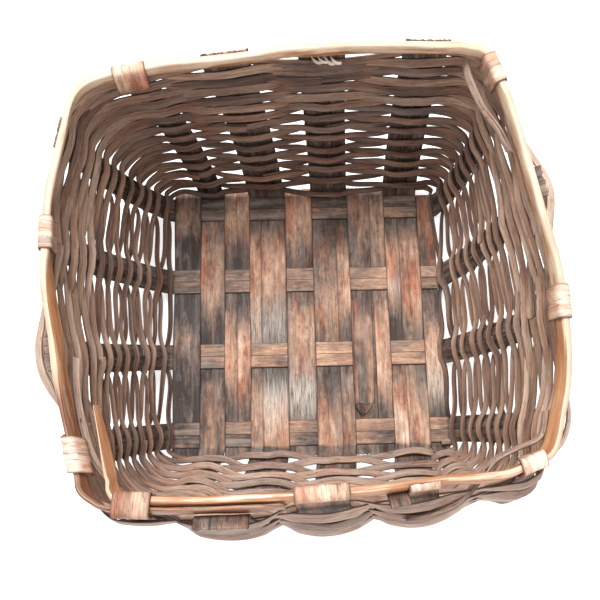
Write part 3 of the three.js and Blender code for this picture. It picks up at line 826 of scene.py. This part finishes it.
def turned_corner(k):
    """The step half way round a corner of the wall, between stake k and the next."""
    height = station_height(k + 0.5)
    here = stake_at(stakes[k % around], height)
    after = stake_at(stakes[(k + 1) % around], height)
    start = here.at + here.wide * (stakes[k % around].width / 2)
    end = after.at - after.wide * (stakes[(k + 1) % around].width / 2)
    at = bend_point(start, here.wide, end, after.wide, 0.5)
    out = (here.thick + after.thick).normalized()
    at -= out * wall_sides["near"].tuck * tucked(height)
    wide = (here.rise + after.rise).normalized() + out * 0.1
    tone = (weaver_look(k, False) + weaver_look(k + 1, False)) / 2
    return step(at, wide.normalized(), tone)


def weave_steps(first, last, laps):
    """The steps of one weaver from the middle of stake first to the middle of stake last. Past a join the
    two splints lie on each other: the new one inside, the old one outside."""
    steps = []
    end = last + 1 if laps else last
    for k in range(first, end + 1):
        outside = k % 2 == 1
        starting = k < first + 2 and first > first_station
        ending = k >= last and laps
        bulge = -weaver_lap if starting and not outside else weaver_lap if ending and outside else 0
        lift = 0.0008 if ending else 0
        if k > first and stakes[(k - 1) % around].side != stakes[k % around].side:
            steps.append(turned_corner(k - 1))
        for along in ([-1, -0.5] if k > first else []) + [0] + ([0.5, 1] if k < end else []):
            not_yet = ending and k == last and along == -1
            steps.append(weave_run(k, along, lift, 0 if not_yet else bulge))
    return steps


# Shaved splints are smoother than split ones: they shine a little, and long fine fibres show. Their grey
# patches are partly weathered wood and partly painted sheen.
shaved_ash = [(0, "#4c3e38"), (0.3, "#7e6253"), (0.55, "#a58672"), (0.8, "#c6a790"), (1, "#e0c6b0")]
weaver_wood = split_wood("shaved_ash_weaver", shaved_ash, wander=0.2, grey="#a39a94", greyed=0.4,
                         dust="#c4b5a8", dusty=0.25, patch=(0.06, 0.005), roughness=0.5, grime_and_shade=0.8,
                         ruddy=0.35, fibrous=0.8, mottled=0.07)
for w in range(weaver_count):
    first = first_station + w * stations_each
    last = min(first + stations_each, last_station)
    node = "weaver_" + str(w + 1).zfill(2)
    steps = weave_steps(first, last, laps=last < last_station)
    width = weaver_width + 0.002 * packed(station_height(first)) + strayed(w * 2.3, 7, 0.0007)
    piece = splint(node + "_splint", steps, width, weaver_thickness, 100 + w, spacing=0.0025, across=0.0014,
                   ragged=0.25, torn=(0.002, 0.002), cup=-0.0005)
    add_piece(piece, node, weaver_wood)

# Loose ends of the last weavers: grey weathered splints that stand off inside three corners, where the hoop
# doesn't hold them. One slips out under the hoop on the near side.
loose_width = 0.0062


def loose_end(name, node, seed, lean, marks):
    """A weaver's loose end past the marks, each of rim shares across and along and a height. It leans so
    that the mouth shows its face."""
    places = [on_rim(*mark) for mark in marks]
    steps = []
    for i, at in enumerate(places):
        along = places[min(len(places) - 1, i + 1)] - places[max(0, i - 1)]
        outward = along.cross(up).normalized()
        if outward.dot(at - floor_middle) < 0:
            outward = -outward
        tone = 0.45 + 0.2 * waver(i * 0.9, seed)
        steps.append(step(at, (up + outward * lean).normalized(), tone, 0.3))
    piece = splint(name, steps, loose_width, weaver_thickness, seed, across=0.0011, ragged=0.3,
                   torn=(0.002, 0.005), splits=[(0.6, 0.5, 0.97)], cup=-0.0004)
    add_piece(piece, node, weaver_wood)


loose_end("loose_end_near_right", "weaver_24", 201, 0.5, [
    (0.93, -0.66, 0.160), (0.885, -0.778, 0.165), (0.77, -0.83, 0.169), (0.68, -0.875, 0.171),
    (0.62, -0.95, 0.170), (0.54, -1.045, 0.165), (0.43, -1.095, 0.161), (0.32, -1.11, 0.158)])
loose_end("loose_end_far_right", "weaver_23", 202, 0.7, [
    (0.70, 1.005, 0.171), (0.70, 0.95, 0.171), (0.72, 0.87, 0.170), (0.765, 0.76, 0.168),
    (0.83, 0.65, 0.167), (0.885, 0.54, 0.163)])
loose_end("loose_end_near_left", "weaver_23", 203, 1.0, [
    (-0.985, -0.38, 0.161), (-0.965, -0.52, 0.167), (-0.93, -0.68, 0.170), (-0.885, -0.82, 0.170),
    (-0.82, -0.93, 0.166)])

# One far stake has split off under the hoop. It leaves a row of torn fibres, pale where the wood is freshly
# bare, that hang in from the break.
broken = stake_beside(slack_stake, "far")
fibre_count = 4
fibre_width, fibre_thickness = 0.0028, 0.0005
fibre_start, fibre_pitch = -0.007, 0.0042
for i in range(fibre_count):
    start = Vector((broken.at.x + fibre_start + fibre_pitch * i, broken.at.y - 0.003, hoop_bottom + 0.0015))
    drop = 0.0014 + 0.0022 * waver(i * 1.7, 3.3)
    marks = [(0, 0.003, -0.001), (0.0015, 0, -0.0014), (0.0045, -0.0014, -0.0016 - drop),
             (0.0082, -0.0008, -0.002 - drop * 0.6)]
    steps = [step(start + Vector(mark), Vector((0.1, -0.6, -0.75)), 1, 1) for mark in marks]
    fibre = splint("torn_fibre_" + str(i + 1), steps, fibre_width, fibre_thickness, 220 + i, spacing=0.001,
                   across=0.0005, ragged=0.5, torn=(0.001, 0.002))
    add_piece(fibre, "long_stake_3a", stake_wood)

# The hoop: a peeled pole, halved and bent round the mouth on top of the weave. Its head is shaved to a wedge
# inside the near left corner, and its tail laps outside it and ends past the second near stake.
hoop_head = (-0.86, -0.609)
hoop_past_stake = 0.001
lap_past_stake = 0.020
hoop_bend_step = 0.006
hoop_step = 0.002
for rim in rim_points:
    rim.half = rim.width / 2 + hoop_past_stake if rim.name else 0
hoop_runs = [(rim.at, rim.along, rim.half) for rim in rim_points]
hoop_runs += [(rim.at + rim.outward * lap_shift, rim.along, rim.half) for rim in rim_points if rim.lapped]
head_tip = on_rim(*hoop_head)
at, along, half = hoop_runs[0]
head_foot = at - along * half + along.cross(up) * -0.004
hoop_line = [head_tip.lerp(head_foot, k / 5) for k in range(6)]
for i, (at, along, half) in enumerate(hoop_runs):
    if half:
        hoop_line += [at - along * (half if i else half - 0.0035), at]
    start = at + along * half
    hoop_line.append(start)
    if i + 1 < len(hoop_runs):
        next_at, next_along, next_half = hoop_runs[i + 1]
        end = next_at - next_along * next_half
        bends = max(2, math.ceil((end - start).length / hoop_bend_step))
        hoop_line += [bend_point(start, along, end, next_along, k / bends) for k in range(1, bends)]
at, along, half = hoop_runs[-1]
hoop_line.append(at + along * (half + lap_past_stake))
hoop_route = smooth_route([step(at, up, 0) for at in hoop_line], hoop_step)


def peeled_pole(name):
    """A peeled, bent pole: golden tan and satin, orange where it is smooth, almost white along its upper
    edge, partly from wear and partly as a painted highlight, with long grain streaks and dirt in the hollows."""
    material, tree, grain, look = start_wood(name)
    colour = add_node(tree, "ValToRGB", {}, {"Fac": streaks(tree, grain, 0.06, 0.0025, 4)}, [
        (0.3, linear("#80543a")), (0.46, linear("#a97450")), (0.6, linear("#bf8a62")),
        (0.75, linear("#d8ae8c"))])["Color"]
    edge_wear_and_highlight = add_node(tree, "Math", {"operation": "ADD"},
                         {0: streaks(tree, grain, 0.035, 0.0022, 5, (0.3, 0.7), (-0.75, 0.6)), 1: look["X"]})
    wear_and_highlight = add_node(tree, "MapRange", {"From Min": 0.3, "From Max": 0.7},
                    {"Value": edge_wear_and_highlight[0]})[0]
    stain = streaks(tree, grain, 0.03, 0.003, 4, (0.5, 0.68), (0, 0.75))
    fibres = streaks(tree, grain, 0.012, 0.0007, 4)
    fibre_tone = add_node(tree, "ValToRGB", {}, {"Fac": fibres}, [
        (0.3, (0.72, 0.68, 0.64, 1)), (0.55, (1, 1, 1, 1))])["Color"]
    # The pale mix is partly wear and partly a painted highlight.
    layers = [
        ("MIX", {7: linear("#dcc2a8")}, {0: wear_and_highlight}),
        ("MULTIPLY", {7: linear("#b9a9a6")}, {0: look["Y"]}),
        ("MIX", {7: linear("#b4835f")}, {0: stain}),
        ("MULTIPLY", {0: 0.6}, {7: fibre_tone}),
    ]
    finish_wood(tree, colour, layers, roughness=0.42, height=fibres, relief=0.35)
    return material


# The hoop's section is nearly square with rounded corners. It thins towards its head and where the tail laps.
hoop_sides = 20
squareness = 0.5
girth = 0.026
head_taper = 0.075
tail_length = 0.19
tail_ease = 0.03
tail_thickness = 0.62
tip_taper = 0.02
trimmed_share = 0.3
hoop_uneven = 0.0007
count = len(hoop_route) - 1
bm = bmesh.new()
bmesh.ops.create_grid(bm, x_segments=count, y_segments=hoop_sides, size=1)
grain = bm.loops.layers.uv.new("grain")
look = bm.loops.layers.uv.new("look")
distance = distances(hoop_route)
tail_start = distance[-1] - tail_length
for v in list(bm.verts):
    i = round((v.co.x + 1) / 2 * count)
    share_around = (v.co.y + 1) / 2
    turned = 2 * math.pi * share_around
    s = distance[i]
    along = (hoop_route[min(i + 1, count)][0] - hoop_route[max(i - 1, 0)][0]).normalized()
    outward = along.cross(up).normalized()
    head = min(1, 0.1 + 0.9 * s / head_taper)
    tail = 1 - (1 - tail_thickness) * part_way(s, tail_start, tail_start + tail_ease)
    tip = min(1, 0.3 + (distance[-1] - s) / tip_taper)
    half_across = hoop_thickness / 2 * head * tail * tip
    half_high = hoop_height / 2 * min(1, 0.5 + s / head_taper) * (0.75 + 0.25 * tip)
    cosine, sine = math.cos(turned), math.sin(turned)
    trimmed = half_high * trimmed_share * max(0, outward.y) ** 2
    across = half_across * math.copysign(abs(cosine) ** squareness, cosine)
    high = (half_high - trimmed) * math.copysign(abs(sine) ** squareness, sine) + trimmed
    rough = hoop_uneven * waver(s / 0.03, cosine, sine)
    across += rough * cosine - hoop_thickness / 2 * (1 - tail) / 2
    high += rough * sine
    lean = hoop_lean(outward)
    leant_across = across * math.cos(lean) + high * math.sin(lean)
    leant_high = high * math.cos(lean) - across * math.sin(lean)
    v.co = hoop_route[i][0] + outward * leant_across + up * (hoop_middle + leant_high)
    # Pale: wear and a painted highlight on the upper and outer faces, painted light on the inner faces of the
    # far side and of the sides' far ends, and less pale along the near side, most on its outer face.
    pale = 0.6 + 0.9 * (sine + cosine) + 0.75 * waver(s / 0.05, 6.1)
    pale += 1.1 * max(0, outward.y) * max(0, -cosine) - max(0, -outward.y) * (0.78 + 1.7 * max(0, cosine))
    pale += 3 * outward.x ** 2 * min(0.4, max(0, outward.y + 0.25)) * max(0, -cosine)
    dull = part_way(s, tail_start, tail_start + tip_taper)
    pale += (0.35 + 0.2 * sine - pale) * dull
    for loop in v.link_loops:
        loop[grain].uv = (s, share_around * girth)
        loop[look].uv = (pale, dull)
bmesh.ops.remove_doubles(bm, verts=bm.verts, dist=1e-6)
bmesh.ops.holes_fill(bm, edges=[e for e in bm.edges if e.is_boundary], sides=0)
bmesh.ops.recalc_face_normals(bm, faces=bm.faces)
add_piece(smooth_object("rim_hoop_pole", bm), "rim_hoop", peeled_pole("peeled_bent_pole"))

# The camera stands over the near side of the basket and looks almost straight down into it.
camera_data = bpy.data.cameras.new("camera")
camera_data.sensor_width = 36
camera_data.lens = 42
camera = add_object("camera", camera_data)
camera.location = floor_middle + Vector((-0.018, -0.1139, 0.5906))
camera.rotation_euler = (0.215674, -0.015274, -0.024225)
bpy.context.scene.camera = camera


def strength_seen(tree, plain, seen):
    """A light's strength: seen where the camera looks at it, also in a shine, and plain for all else."""
    path = add_node(tree, "LightPath")
    shown = path["Is Camera Ray"]
    for ray in ("Is Glossy Ray", "Is Transmission Ray"):
        shown = add_node(tree, "Math", {"operation": "MAXIMUM"}, {0: shown, 1: path[ray]})[0]
    return add_node(tree, "MapRange", {"To Min": plain, "To Max": seen}, {"Value": shown})[0]


# A plain floor in matt white paint, which keeps the basket's shadow. To the camera it also glows, so that
# it shows as pure white where no shadow falls.
floor_size = 3
bm = bmesh.new()
bmesh.ops.create_grid(bm, x_segments=1, y_segments=1, size=floor_size / 2)
stage_floor = smooth_object("stage_floor", bm)
stage_paint = bpy.data.materials.new("white_painted_floor")
stage_paint.use_nodes = True
tree = stage_paint.node_tree
shader = tree.nodes["Principled BSDF"]
shader.inputs["Base Color"].default_value = linear("#dadada")
shader.inputs["Roughness"].default_value = 0.9
glow = add_node(tree, "Emission", {}, {"Strength": strength_seen(tree, 0, 0.62)})
both = add_node(tree, "AddShader", {}, {0: shader.outputs[0], 1: glow[0]})
tree.links.new(both[0], tree.nodes["Material Output"].inputs["Surface"])
stage_floor.data.materials.append(stage_paint)

# Soft light from all round, with a broad lamp above the far side and a weak one low on the near side.
world = bpy.data.worlds.new("soft_white")
bpy.context.scene.world = world
world.use_nodes = True
tree = world.node_tree
background = tree.nodes["Background"]
tree.links.new(strength_seen(tree, 0.64, 1), background.inputs["Strength"])
background.inputs["Color"].default_value = (1, 1, 1, 1)
for name, size, energy, place in [
        ("broad_lamp", 0.6, 21, (-0.15, 0.55, 1.2)), ("low_lamp", 0.8, 5, (0.1, -1.1, 0.45))]:
    light = bpy.data.lights.new(name, "AREA")
    light.shape = "DISK"
    light.size = size
    light.energy = energy
    lamp = add_object(name, light)
    lamp.location = floor_middle + Vector(place)
    lamp.rotation_euler = (floor_middle - lamp.location).to_track_quat("-Z", "Y").to_euler()

bpy.context.scene.view_settings.view_transform = "Standard"
